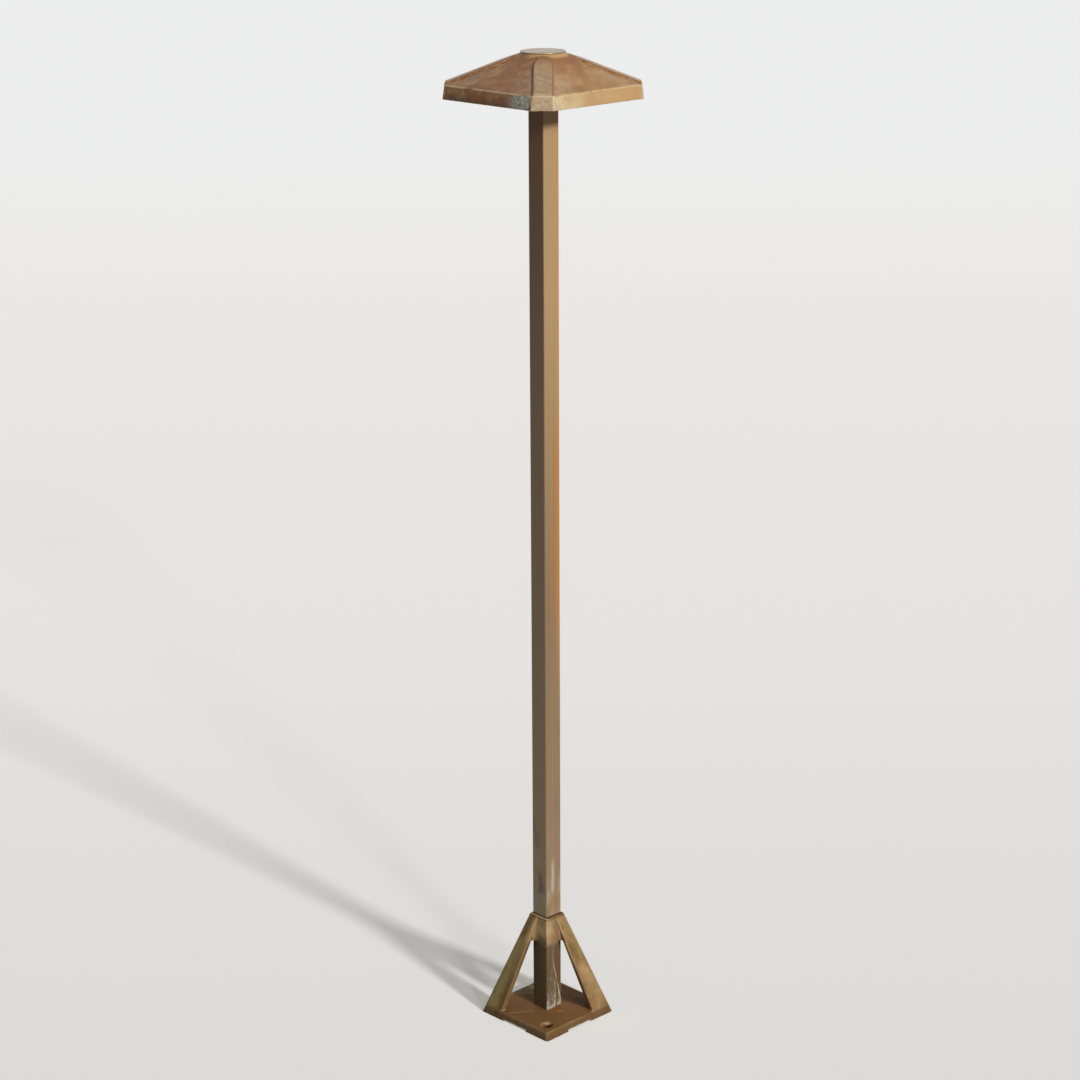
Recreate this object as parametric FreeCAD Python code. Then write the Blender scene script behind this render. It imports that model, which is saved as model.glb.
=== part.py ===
import FreeCAD
import Part
import math
import os

# Path light: a square tube on a small pyramid base, with a pyramid shade held down by a round cap.
# Millimetres, +Z up, origin on the ground under the pole, sides of the squares along X and Y.

# Overall
overall_height = 914.4

# Pole, a square tube
pole_side = 19.05
pole_wall = 1.65
pole_corner_radius = 1.2

# Base casting
base_side = 88.4
base_height = 103.6
base_edge_radius = 1.0
plate_thickness = 7.7
plate_edge_radius = 1.8
plate_corner_radius = 3.0
collar_wall = 1.725
collar_length = 26.2
collar_clearance = 0.15
leg_wall = 4.5
leg_low_width = 21.75
leg_high_width = 13.6
leg_fillet_radius = 4.0
leg_fillet_end_radius = 0.2
leg_fillet_runout = 5.2
relief_width = 31.0
relief_depth = 1.7
anchor_inset = 14.15
anchor_hole_diameter = 6.5
anchor_sink_diameter = 12.4

# Cable inlet in the plate
inlet_bore_diameter = 6.4
grommet_wall = 1.7
grommet_clearance = 0.1
grommet_lip = 1.8
grommet_top_head = 1.7
grommet_low_head = 1.3

# Shade casting
shade_width = 136.9
skirt_height = 11.6
skirt_inset = 1.75
rim_corner_flat = 20.1
top_corner_flat = 18.2
roof_rise = 26.3
land_width = 35.2
shade_wall = 2.6
shade_edge_radius = 0.8
ceiling_thickness = 4.2
hip_flat_depth = 1.65
strap_inset = 1.1
strap_rise = 0.5
strap_cap_gap = 2.0
strap_arch = 17.0
neck_rise = 1.1
flare_run = 10.2
flare_sink = 0.4
hub_wall = 2.0
hub_floor = 5.7

# Cap and its seal
cap_diameter = 39.6
cap_thickness = 0.9
cap_edge_radius = 0.5
cap_overhang = 0.2
cap_boss_wall = 2.85
cap_boss_length = 7.6
cap_crown = 2.4
boss_clearance = 0.3
boss_end_gap = 0.5
seal_thickness = 0.8
seal_inset = 1.6
seal_sink = 0.5
seal_clearance = 0.15

# Stack on top of the pole
stud_diameter = 9.52
stud_clearance = 0.09
stud_end_gap = 0.5
hub_clearance = 0.35
thread_clearance = 0.05
plug_length = 20.0
plug_clearance = 0.1
flange_thickness = 2.5
bracket_thickness = 1.5
bracket_lip = 0.5
bracket_end_margin = 1.5
washer_thickness = 0.8
washer_wall = 1.4
nut_height = 4.5
nut_wall = 1.55
spacer_length = 7.7
spacer_wall = 1.4

# Screws
screw_clearance = 0.1
set_screw_diameter = 3.9
set_screw_length = 4.2
set_screw_offset = 3.5
plug_screw_diameter = 3.0
plug_screw_head_diameter = 5.6
plug_screw_head_height = 1.8
plug_screw_tip_gap = 0.5
holder_screw_diameter = 2.2
holder_screw_head_diameter = 4.2
holder_screw_head_height = 1.5
holder_screw_grip = 6.0
holder_screw_edge = 2.4

# Lamp holder and lamp, along +X under the bracket
holder_gap = 2.1
holder_depth = 12.0
holder_width = 16.0
holder_height = 10.2
holder_edge_radius = 1.0
contact_diameter = 2.2
contact_length = 10.0
contact_clearance = 0.1
pin_pitch = 4.0
pin_diameter = 0.7
pin_length = 6.8
pin_root = 2.5
lamp_gap = 0.3
lamp_base_diameter = 9.4
lamp_base_length = 6.0
lamp_neck_length = 2.0
lamp_neck_clearance = 0.1
envelope_lip = 0.3
envelope_wall = 0.9
envelope_length = 18.5
core_side = 4.0
core_end_gap = 4.5
led_length = 2.4
led_width = 1.6
led_height = 0.6
leds_per_side = 3

# Leads and connector inside the pole
lead_diameter = 1.7
lead_hole_diameter = 3.0
lead_edge = 0.78
lead_entry = 3.6
lead_bend_rise = 0.8
lead_end_gap = 0.05
connector_gap = 0.58
connector_bottom = 45.0
connector_height = 18.0
connector_socket = 6.0
barrel_diameter = 2.4

# Places worked out from the sizes above
pole_bore = pole_side - 2 * pole_wall
collar_bore = pole_side + 2 * collar_clearance
collar_side = collar_bore + 2 * collar_wall
collar_bottom = base_height - collar_length
inlet_hole_diameter = inlet_bore_diameter + 2 * grommet_wall + 2 * grommet_clearance
grommet_head_diameter = inlet_hole_diameter + 2 * grommet_lip
cap_bottom = overall_height - cap_thickness
seat_z = cap_bottom - seal_thickness + seal_sink
land_z = seat_z - neck_rise
seal_diameter = cap_diameter - 2 * seal_inset
skirt_top_z = land_z - roof_rise
rim_z = skirt_top_z - skirt_height
skirt_top_width = shade_width - 2 * skirt_inset
skirt_draft = skirt_inset / skirt_height
roof_slope = 2 * roof_rise / (skirt_top_width - land_width)
rim_diagonal = math.sqrt(2) * shade_width - rim_corner_flat
top_diagonal = math.sqrt(2) * skirt_top_width - top_corner_flat
boss_bottom = cap_bottom - cap_boss_length
cap_boss_diameter = stud_diameter + 2 * cap_boss_wall
cap_bore_top = overall_height - cap_crown
hub_seat_z = boss_bottom - boss_end_gap
hub_bottom = hub_seat_z - hub_floor
hub_diameter = cap_boss_diameter + 2 * boss_clearance + 2 * hub_wall
nut_top = hub_bottom - spacer_length
nut_bottom = nut_top - nut_height
bracket_top = nut_bottom - washer_thickness
bracket_bottom = bracket_top - bracket_thickness
pole_top = bracket_bottom - flange_thickness
plug_bottom = pole_top - plug_length
lamp_axis_z = bracket_bottom - holder_height / 2
holder_start = pole_side / 2 + holder_gap
holder_end = holder_start + holder_depth
contact_start = holder_end - contact_length
lamp_start = holder_end + lamp_gap
envelope_start = lamp_start + lamp_base_length
envelope_diameter = lamp_base_diameter + 2 * envelope_lip
envelope_bore = envelope_diameter - 2 * envelope_wall
core_start = envelope_start + lamp_neck_length
core_length = envelope_length - lamp_neck_length - core_end_gap
lead_offset = pole_bore / 2 - lead_hole_diameter / 2 - lead_edge
lead_drop_x = holder_start + lead_entry
connector_top = connector_bottom + connector_height
cut_margin = 1.0

origin = FreeCAD.Vector(0, 0, 0)
up = FreeCAD.Vector(0, 0, 1)
along_x = FreeCAD.Vector(1, 0, 0)
along_y = FreeCAD.Vector(0, 1, 0)


def point(x, y, z):
    return FreeCAD.Vector(x, y, z)


def cylinder(diameter, length, start, axis=up):
    return Part.makeCylinder(diameter / 2, length, start, axis)


def ring(outer_diameter, inner_diameter, length, start, axis=up):
    hole = cylinder(inner_diameter, length + 2 * cut_margin, start - axis * cut_margin, axis)
    return cylinder(outer_diameter, length, start, axis).cut(hole)


def square_prism(side, z_low, z_high):
    return Part.makeBox(side, side, z_high - z_low, point(-side / 2, -side / 2, z_low))


def round_edges_along(solid, axis, radius):
    edges = [e for e in solid.Edges if abs(abs(e.tangentAt(e.FirstParameter).dot(axis)) - 1) < 1e-6]
    return solid.makeFillet(radius, edges)


def flat_face(corners):
    return Part.Face(Part.makePolygon(corners + corners[:1]))


def frustum(low, z_low, high, z_high):
    # Solid between two level outlines, both counter-clockwise, with parallel sides.
    bottom = [point(x, y, z_low) for x, y in low]
    top = [point(x, y, z_high) for x, y in high]
    faces = [flat_face(bottom[::-1]), flat_face(top)]
    for i in range(len(low)):
        j = (i + 1) % len(low)
        faces.append(flat_face([bottom[i], bottom[j], top[j], top[i]]))
    return Part.makeSolid(Part.makeShell(faces))


def span_square(low, high):
    return [(low, low), (high, low), (high, high), (low, high)]


def square(width):
    return span_square(-width / 2, width / 2)


def diamond(diagonal):
    # Square turned by 45 degrees; diagonal is the distance between its opposite sides.
    reach = diagonal / math.sqrt(2)
    return [(reach, 0), (0, reach), (-reach, 0), (0, -reach)]


def turned(solid, degrees):
    copy = solid.copy()
    copy.rotate(origin, up, degrees)
    return copy


def hexagonal_prism(across_flats, length, start, axis=up):
    # Two of its flats face along the X axis when it stands upright.
    radius = across_flats / math.sqrt(3)
    angles = [math.pi / 6 + math.pi / 3 * i for i in range(6)]
    corners = [point(radius * math.cos(a), radius * math.sin(a), 0) for a in angles]
    solid = flat_face(corners).extrude(up * length)
    solid.Placement = FreeCAD.Placement(start, FreeCAD.Rotation(up, axis))
    return solid


def revolved(edges):
    return Part.Face(Part.Wire(edges)).revolve(origin, up, 360)


def on_lamp_axis(solid, x):
    # Takes a solid made along +Z from the origin and lays it along the lamp's axis, from x onwards.
    solid.rotate(origin, along_y, 90)
    solid.translate(point(x, 0, lamp_axis_z))
    return solid


def base_half(z):
    return (base_side + (collar_side - base_side) * z / base_height) / 2


def window_half(z):
    # Half width of the opening between a leg and the middle of its face, at height z.
    low = base_half(plate_thickness) - leg_low_width
    high = base_half(collar_bottom) - leg_high_width
    return low + (high - low) * (z - plate_thickness) / (collar_bottom - plate_thickness)


def is_outer_leg_edge(edge):
    # True for the three long edges of a leg that lie in the faces of the pyramid.
    middle = edge.CenterOfMass
    along = edge.tangentAt(edge.FirstParameter)
    return abs(along.z) > 0.3 and max(middle.x, middle.y) > base_half(middle.z) - 1e-6


def leg():
    # Leg in the +X +Y corner: two strips in the pyramid's faces, solid beside the collar.
    outer = frustum(span_square(window_half(0), base_half(0)), 0,
                    span_square(window_half(base_height), base_half(base_height)), base_height)
    outer = outer.makeFillet(base_edge_radius, [e for e in outer.Edges if is_outer_leg_edge(e)])
    low, top = plate_thickness, collar_bottom
    hollow = frustum(span_square(window_half(low) - leg_wall, base_half(low) - leg_wall), low - cut_margin,
                     span_square(window_half(top) - leg_wall, base_half(top) - leg_wall), top)
    return outer.cut(hollow)


def anchor_cut():
    reach = base_side / 2 - anchor_inset
    depth = (anchor_sink_diameter - anchor_hole_diameter) / 2
    hole = cylinder(anchor_hole_diameter, plate_thickness + 2 * cut_margin, point(reach, -reach, -cut_margin))
    sink = Part.makeCone(anchor_hole_diameter / 2, anchor_sink_diameter / 2, depth,
                         point(reach, -reach, plate_thickness - depth))
    return hole.fuse(sink)


def set_screw_places():
    # One on the -X face and one on the +Y face, each moved away from the leg beside it.
    z = base_height - collar_length / 2
    face = pole_side / 2
    return [(point(-face, set_screw_offset, z), along_x * -1), (point(-set_screw_offset, face, z), along_y)]


def base_plate():
    # Rounded corners and a rounded top edge; the legs, which reach the ground, fill two of the corners.
    plate = frustum(square(base_side), 0, square(2 * base_half(plate_thickness)), plate_thickness)
    upright = [e for e in plate.Edges if 1e-6 < e.CenterOfMass.z < plate_thickness - 1e-6]
    plate = plate.makeFillet(plate_corner_radius, upright)
    top = [e for e in plate.Edges if e.CenterOfMass.z > plate_thickness - 1e-6]
    return plate.makeFillet(plate_edge_radius, top)


def collar():
    # The top edges are rounded, and the two upright edges that are clear of the legs.
    solid = square_prism(collar_side, collar_bottom, base_height)
    upright = [e for e in solid.Edges if e.CenterOfMass.x * e.CenterOfMass.y < -1e-6]
    top = [e for e in solid.Edges if e.CenterOfMass.z > base_height - 1e-6]
    return solid.makeFillet(base_edge_radius, upright + top)


def leg_fillet():
    # Hollow fillet between the +X +Y leg and the collar's +X face. It runs out upwards, as the leg does,
    # and goes a little way into both of them.
    face = collar_side / 2
    sunk = collar_wall / 3
    sections = []
    fillet_top = base_height - leg_fillet_runout
    for z, radius in ((collar_bottom, leg_fillet_radius), (fillet_top, leg_fillet_end_radius)):
        side = window_half(z)
        bulge = radius * (1 - math.sqrt(0.5))
        start, end = point(face, side - radius, z), point(face + radius, side, z)
        corners = [end, point(face + radius, side + sunk, z), point(face - sunk, side + sunk, z),
                   point(face - sunk, side - radius, z), start]
        edges = [Part.Arc(start, point(face + bulge, side - bulge, z), end).toShape()]
        edges += [Part.makeLine(a, b) for a, b in zip(corners, corners[1:])]
        sections.append(Part.Wire(edges))
    return Part.makeLoft(sections, True, True)


def base_casting():
    fillets = [leg_fillet(), leg_fillet().mirror(origin, point(1, -1, 0))]
    fillets += [turned(fillet, 180) for fillet in fillets]
    solid = base_plate().fuse([leg(), turned(leg(), 180), collar()] + fillets)
    cuts = [square_prism(collar_bore, collar_bottom - cut_margin, base_height + cut_margin)]
    cuts += [anchor_cut(), turned(anchor_cut(), 180)]
    cuts.append(cylinder(inlet_hole_diameter, plate_thickness + 2 * cut_margin, point(0, 0, -cut_margin)))
    cuts.append(cylinder(grommet_head_diameter + 2 * grommet_clearance, grommet_top_head + cut_margin,
                         up * (plate_thickness - grommet_top_head)))
    channel = Part.makeBox(base_side + 2 * cut_margin, relief_width, relief_depth + cut_margin,
                           point(-base_side / 2 - cut_margin, -relief_width / 2, -cut_margin))
    cuts += [channel, turned(channel, 90)]
    for start, axis in set_screw_places():
        cuts.append(cylinder(set_screw_diameter + 2 * thread_clearance, collar_side / 2, start, axis))
    return solid.cut(cuts).removeSplitter()


def collar_set_screws():
    screws = []
    for start, axis in set_screw_places():
        half = set_screw_length / 2
        socket = hexagonal_prism(set_screw_diameter / 2, half + cut_margin, start + axis * half, axis)
        screws.append(cylinder(set_screw_diameter, set_screw_length, start, axis).cut(socket))
    return Part.makeCompound(screws)


def wire_grommet():
    # Bobbin with its lower head in the relief and its upper head sunk in the plate.
    bore = inlet_bore_diameter / 2
    neck = bore + grommet_wall
    head = grommet_head_diameter / 2
    bottom = relief_depth - grommet_low_head
    seat = plate_thickness - grommet_top_head
    outline = [(bore, bottom), (head, bottom), (head, relief_depth), (neck, relief_depth), (neck, seat),
               (head, seat), (head, plate_thickness), (bore, plate_thickness)]
    corners = [point(r, 0, z) for r, z in outline]
    return revolved(Part.makePolygon(corners + corners[:1]).Edges)


def plug_screw_places():
    z = pole_top - plug_length / 2
    face = pole_side / 2
    return [(point(-face, 0, z), along_x * -1), (point(0, face, z), along_y)]


def plug_screw_reach():
    return pole_side / 2 - stud_diameter / 2 - thread_clearance - plug_screw_tip_gap


def pole():
    outer = round_edges_along(square_prism(pole_side, plate_thickness, pole_top), up, pole_corner_radius)
    cuts = [square_prism(pole_bore, plate_thickness - cut_margin, pole_top + cut_margin)]
    for start, axis in plug_screw_places():
        cuts.append(cylinder(plug_screw_diameter + 2 * screw_clearance, 3 * pole_wall,
                             start - axis * (2 * pole_wall), axis))
    return outer.cut(cuts)


def lead_pole_places():
    return [point(lead_offset, side * lead_offset, 0) for side in (1, -1)]


def lead_holder_places():
    return [point(lead_drop_x, side * pin_pitch / 2, 0) for side in (1, -1)]


def pole_top_plug():
    body = square_prism(pole_bore - 2 * plug_clearance, plug_bottom, pole_top)
    flange = round_edges_along(square_prism(pole_side, pole_top, bracket_bottom), up, pole_corner_radius)
    low = plug_bottom - cut_margin
    length = bracket_bottom + cut_margin - low
    cuts = [cylinder(stud_diameter + 2 * thread_clearance, length, point(0, 0, low))]
    for place in lead_pole_places():
        cuts.append(cylinder(lead_hole_diameter, length, place + up * low))
    for start, axis in plug_screw_places():
        reach = plug_screw_reach()
        cuts.append(cylinder(plug_screw_diameter + 2 * thread_clearance, reach, start - axis * reach, axis))
    return body.fuse(flange).cut(cuts)


def headed_screw(diameter, reach, head_diameter, head_height, seat, axis):
    # Screw whose head sits on the point seat and whose shank goes against axis.
    shank = cylinder(diameter, reach, seat - axis * reach, axis)
    head = cylinder(head_diameter, head_height, seat, axis)
    socket = hexagonal_prism(diameter / 2, head_height, seat + axis * (head_height / 2), axis)
    return shank.fuse(head).cut(socket)


def plug_screws():
    return Part.makeCompound([
        headed_screw(plug_screw_diameter, plug_screw_reach(), plug_screw_head_diameter,
                     plug_screw_head_height, start, axis)
        for start, axis in plug_screw_places()])


def shade_stud():
    return cylinder(stud_diameter, cap_bore_top - stud_end_gap - plug_bottom, point(0, 0, plug_bottom))


def holder_screw_places():
    x = holder_start + holder_depth / 2
    y = holder_width / 2 - holder_screw_edge
    return [point(x, side * y, 0) for side in (1, -1)]


def lamp_bracket():
    start = -pole_side / 2
    width = holder_width + 2 * bracket_lip
    strip = Part.makeBox(holder_end + bracket_end_margin - start, width, bracket_thickness,
                         point(start, -width / 2, bracket_bottom))
    strip = round_edges_along(strip, up, pole_corner_radius)
    low = up * (bracket_bottom - cut_margin)
    length = bracket_thickness + 2 * cut_margin
    cuts = [cylinder(stud_diameter + 2 * hub_clearance, length, low)]
    for place in lead_pole_places() + lead_holder_places():
        cuts.append(cylinder(lead_hole_diameter, length, place + low))
    for place in holder_screw_places():
        cuts.append(cylinder(holder_screw_diameter + 2 * screw_clearance, length, place + low))
    return strip.cut(cuts)


def lock_washer():
    return ring(stud_diameter + 2 * hub_clearance + 2 * washer_wall, stud_diameter + 2 * hub_clearance,
                washer_thickness, up * bracket_top)


def lock_nut():
    hexagon = hexagonal_prism(stud_diameter + 2 * nut_wall, nut_height, up * nut_bottom)
    return hexagon.cut(cylinder(stud_diameter + 2 * thread_clearance, nut_height + 2 * cut_margin,
                                up * (nut_bottom - cut_margin)))


def spacer_tube():
    bore = stud_diameter + 2 * hub_clearance
    return ring(bore + 2 * spacer_wall, bore, spacer_length, up * nut_top)


def strap():
    # Flat strip on the planed hip that runs along +X, with a pointed arch for its upper end.
    half = (top_corner_flat - 2 * strap_inset) / 2
    apex = cap_diameter / 2 + strap_cap_gap
    shoulder = apex + strap_arch
    outer = rim_diagonal / 2
    centre_y = (half ** 2 - strap_arch ** 2) / (2 * half)
    radius = half - centre_y
    turn = math.atan2(strap_arch, -centre_y) / 2
    bulge_x = shoulder - radius * math.sin(turn)
    bulge_y = centre_y + radius * math.cos(turn)
    low = skirt_top_z - skirt_height / 2
    left = Part.Arc(point(shoulder, half, low), point(bulge_x, bulge_y, low), point(apex, 0, low))
    right = Part.Arc(point(apex, 0, low), point(bulge_x, -bulge_y, low), point(shoulder, -half, low))
    sides = Part.makePolygon([point(shoulder, -half, low), point(outer, -half, low),
                              point(outer, half, low), point(shoulder, half, low)])
    outline = Part.Wire([left.toShape(), right.toShape()] + sides.Edges)
    inner = apex - cut_margin
    upright = Part.Face(outline).extrude(up * (strap_top(inner) - low))
    width = half + cut_margin
    profile = [point(inner, -width, low), point(facet_reach(low), -width, low),
               strap_end() - along_y * width, point(inner, -width, strap_top(inner))]
    solid = upright.common(flat_face(profile).extrude(along_y * (2 * width)))
    top = max(solid.Faces, key=lambda face: face.CenterOfMass.z)
    return solid.makeFillet(shade_edge_radius, top.Edges)


def hip_flat(reach):
    # Height of a planed hip at a distance from the axis, along the diagonal.
    return skirt_top_z + roof_slope * (skirt_top_width / 2 - reach / math.sqrt(2)) - hip_flat_depth


def strap_top(reach):
    return hip_flat(reach) + strap_rise


def hip_trim():
    # Everything above the flat that takes the ridge off the hip along +X.
    outer = rim_diagonal / 2 + cut_margin
    high = hip_flat(0)
    profile = [point(0, -shade_width, high), point(outer, -shade_width, hip_flat(outer)),
               point(outer, -shade_width, high)]
    return flat_face(profile).extrude(along_y * (2 * shade_width))


def facet_reach(z):
    # Distance of a corner facet from the axis, along the diagonal.
    return (rim_diagonal + (top_diagonal - rim_diagonal) * (z - rim_z) / skirt_height) / 2


def strap_end():
    # Where the top of a strap meets the plane of its corner facet.
    fall = roof_slope / math.sqrt(2)
    draw = (rim_diagonal - top_diagonal) / 2 / skirt_height
    reach = facet_reach(skirt_top_z)
    z = (strap_top(reach) - fall * draw * skirt_top_z) / (1 - fall * draw)
    return point(facet_reach(z), 0, z)


def flare():
    # Ring that curves up from the middle of each panel to the edge of the cap.
    top = cap_diameter / 2 - cap_overhang
    foot = top + flare_run
    foot_z = skirt_top_z + roof_slope * (skirt_top_width / 2 - foot) - flare_sink
    low = foot_z - cut_margin
    chord = math.hypot(foot - top, seat_z - foot_z)
    rise = math.atan2(seat_z - foot_z, foot - top)
    sag = chord / 2 * math.tan((rise - math.atan(roof_slope)) / 2)
    middle = point((foot + top) / 2 - sag * math.sin(rise), 0, (foot_z + seat_z) / 2 - sag * math.cos(rise))
    arc = Part.Arc(point(foot, 0, foot_z), middle, point(top, 0, seat_z)).toShape()
    rest = Part.makePolygon([point(top, 0, seat_z), point(0, 0, seat_z), point(0, 0, low),
                             point(foot, 0, low), point(foot, 0, foot_z)])
    return revolved([arc] + rest.Edges)


def corner_block(inset, z_low, z_high):
    # Everything inside the four sloping corner facets, moved in by inset.
    return frustum(diamond(2 * facet_reach(z_low) - 2 * inset), z_low,
                   diamond(2 * facet_reach(z_high) - 2 * inset), z_high)


def shade_outside():
    skirt = frustum(square(shade_width), rim_z, square(skirt_top_width), skirt_top_z)
    roof = frustum(square(skirt_top_width), skirt_top_z, square(land_width), land_z)
    body = skirt.fuse(roof).removeSplitter().common(corner_block(0, rim_z, land_z)).removeSplitter()
    between = [e for e in body.Edges if rim_z + 1e-6 < e.CenterOfMass.z < land_z - 1e-6]
    hips = [45 + 90 * i for i in range(4)]
    body = body.makeFillet(shade_edge_radius, between).cut([turned(hip_trim(), angle) for angle in hips])
    straps = [turned(strap(), angle) for angle in hips]
    below_land = square_prism(shade_width, rim_z, land_z)
    return body.fuse(straps).common(below_land).fuse(flare()).removeSplitter()


def shade_hollow():
    side_wall = shade_wall * math.hypot(1, skirt_draft)
    roof_wall = shade_wall * math.hypot(1, roof_slope)
    knee_z = skirt_top_z + (roof_slope * side_wall - roof_wall) / (1 - roof_slope * skirt_draft)
    ceiling_z = land_z - ceiling_thickness
    low_z = rim_z - cut_margin

    def skirt_width(z):
        return shade_width - 2 * skirt_draft * (z - rim_z) - 2 * side_wall

    ceiling_width = skirt_top_width + 2 * (skirt_top_z - roof_wall - ceiling_z) / roof_slope
    skirt = frustum(square(skirt_width(low_z)), low_z, square(skirt_width(knee_z)), knee_z)
    roof = frustum(square(skirt_width(knee_z)), knee_z, square(ceiling_width), ceiling_z)
    hub = cylinder(hub_diameter, ceiling_z - hub_bottom + cut_margin, up * hub_bottom)
    return skirt.fuse(roof).removeSplitter().common(corner_block(side_wall, low_z, ceiling_z)).cut(hub)


def shade():
    solid = shade_outside().cut(shade_hollow())
    depth = seat_z - hub_seat_z + cut_margin
    cuts = [cylinder(stud_diameter + 2 * hub_clearance, seat_z - hub_bottom + 2 * cut_margin,
                     up * (hub_bottom - cut_margin)),
            cylinder(cap_boss_diameter + 2 * boss_clearance, depth, up * hub_seat_z),
            cylinder(seal_diameter + 2 * seal_clearance, seal_sink + cut_margin, up * (seat_z - seal_sink))]
    return solid.cut(cuts)


def cap_seal():
    bore = cap_boss_diameter + 2 * boss_clearance
    return ring(seal_diameter, bore, seal_thickness, up * (seat_z - seal_sink))


def top_cap():
    disc = cylinder(cap_diameter, cap_thickness, up * cap_bottom)
    rim = [e for e in disc.Edges if e.CenterOfMass.z > overall_height - 1e-6]
    disc = disc.makeFillet(cap_edge_radius, rim)
    boss = cylinder(cap_boss_diameter, cap_boss_length, up * boss_bottom)
    bore = cylinder(stud_diameter + 2 * stud_clearance, cap_bore_top - boss_bottom + cut_margin,
                    up * (boss_bottom - cut_margin))
    return disc.fuse(boss).cut(bore)


def lamp_holder():
    block = Part.makeBox(holder_depth, holder_width, holder_height,
                         point(holder_start, -holder_width / 2, bracket_bottom - holder_height))
    block = round_edges_along(block, along_x, holder_edge_radius)
    cuts = []
    for side, place in zip((1, -1), lead_holder_places()):
        cuts.append(cylinder(contact_diameter + 2 * thread_clearance, contact_length + cut_margin,
                             point(contact_start, side * pin_pitch / 2, lamp_axis_z), along_x))
        cuts.append(cylinder(lead_diameter + 2 * screw_clearance, holder_height, place + up * lamp_axis_z))
    for place in holder_screw_places():
        cuts.append(cylinder(holder_screw_diameter + 2 * thread_clearance, holder_screw_grip + cut_margin,
                             place + up * (bracket_bottom - holder_screw_grip)))
    return block.cut(cuts)


def holder_contacts():
    return Part.makeCompound([
        ring(contact_diameter, pin_diameter + 2 * contact_clearance, contact_length,
             point(contact_start, side * pin_pitch / 2, lamp_axis_z), along_x)
        for side in (1, -1)])


def holder_screws():
    reach = holder_screw_grip + bracket_thickness - screw_clearance
    return Part.makeCompound([
        headed_screw(holder_screw_diameter, reach, holder_screw_head_diameter, holder_screw_head_height,
                     place + up * bracket_top, up)
        for place in holder_screw_places()])


def pin_places(x):
    return [point(x, side * pin_pitch / 2, lamp_axis_z) for side in (1, -1)]


def lamp_base():
    neck_diameter = envelope_bore - 2 * lamp_neck_clearance
    body = cylinder(lamp_base_diameter, lamp_base_length, origin)
    neck = cylinder(neck_diameter, lamp_neck_length, up * lamp_base_length)
    solid = on_lamp_axis(body.fuse(neck), lamp_start)
    holes = [cylinder(pin_diameter + 2 * thread_clearance, pin_root + cut_margin, place, along_x)
             for place in pin_places(lamp_start - cut_margin)]
    return solid.cut(holes)


def lamp_pins():
    return Part.makeCompound([
        cylinder(pin_diameter, pin_length + pin_root, place, along_x)
        for place in pin_places(lamp_start - pin_length)])


def round_nosed(radius, length):
    # Rod of the given length along +Z with a half-ball for its far end.
    straight = length - radius
    tip = radius / math.sqrt(2)
    nose = Part.Arc(point(radius, 0, straight), point(tip, 0, straight + tip), point(0, 0, length)).toShape()
    rest = Part.makePolygon([point(0, 0, length), origin, point(radius, 0, 0), point(radius, 0, straight)])
    return revolved([nose] + rest.Edges)


def lamp_envelope():
    outside = round_nosed(envelope_diameter / 2, envelope_length)
    inside = round_nosed(envelope_bore / 2, envelope_length - envelope_wall)
    return on_lamp_axis(outside.cut(inside), envelope_start)


def lamp_core():
    return Part.makeBox(core_length, core_side, core_side,
                        point(core_start, -core_side / 2, lamp_axis_z - core_side / 2))


def lamp_leds():
    chips = []
    pitch = core_length / leds_per_side
    for i in range(leds_per_side):
        x = core_start + pitch * (i + 0.5) - led_length / 2
        chip = Part.makeBox(led_length, led_width, led_height,
                            point(x, -led_width / 2, lamp_axis_z + core_side / 2))
        for quarter in range(4):
            copy = chip.copy()
            copy.rotate(up * lamp_axis_z, along_x, 90 * quarter)
            chips.append(copy)
    return Part.makeCompound(chips)


def lead(index):
    # Up the pole, over in a half circle and down to the contact, in one upright plane.
    foot = lead_pole_places()[index]
    drop = lead_holder_places()[index]
    bend_z = bracket_top + lead_bend_rise
    radius = foot.distanceToPoint(drop) / 2
    start = foot + up * (connector_top - connector_socket)
    bend_start = foot + up * bend_z
    bend_end = drop + up * bend_z
    crest = (foot + drop) * 0.5 + up * (bend_z + radius)
    end = drop + up * (lamp_axis_z + contact_diameter / 2 + lead_end_gap)
    path = Part.Wire([Part.LineSegment(start, bend_start).toShape(),
                      Part.Arc(bend_start, crest, bend_end).toShape(),
                      Part.LineSegment(bend_end, end).toShape()])
    section = Part.Wire(Part.Circle(start, up, lead_diameter / 2).toShape())
    tube = path.makePipeShell([section], True, False)
    expected = path.Length * math.pi * lead_diameter ** 2 / 4
    print("lead bend radius", round(radius, 2), "volume share", round(tube.Volume / expected, 4))
    return tube


def lead_connector():
    block = square_prism(pole_bore - 2 * connector_gap, connector_bottom, connector_top)
    cuts = []
    for place in lead_pole_places():
        bore = lead_diameter + 2 * screw_clearance
        for z in (connector_top - connector_socket, connector_bottom - cut_margin):
            cuts.append(cylinder(bore, connector_socket + cut_margin, place + up * z))
        cuts.append(cylinder(barrel_diameter + 2 * thread_clearance, barrel_length(),
                             place + up * barrel_bottom()))
    return block.cut(cuts)


def barrel_bottom():
    return connector_bottom + connector_socket


def barrel_length():
    return connector_height - 2 * connector_socket


def connector_barrels():
    return Part.makeCompound([
        cylinder(barrel_diameter, barrel_length(), place + up * barrel_bottom())
        for place in lead_pole_places()])


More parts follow.
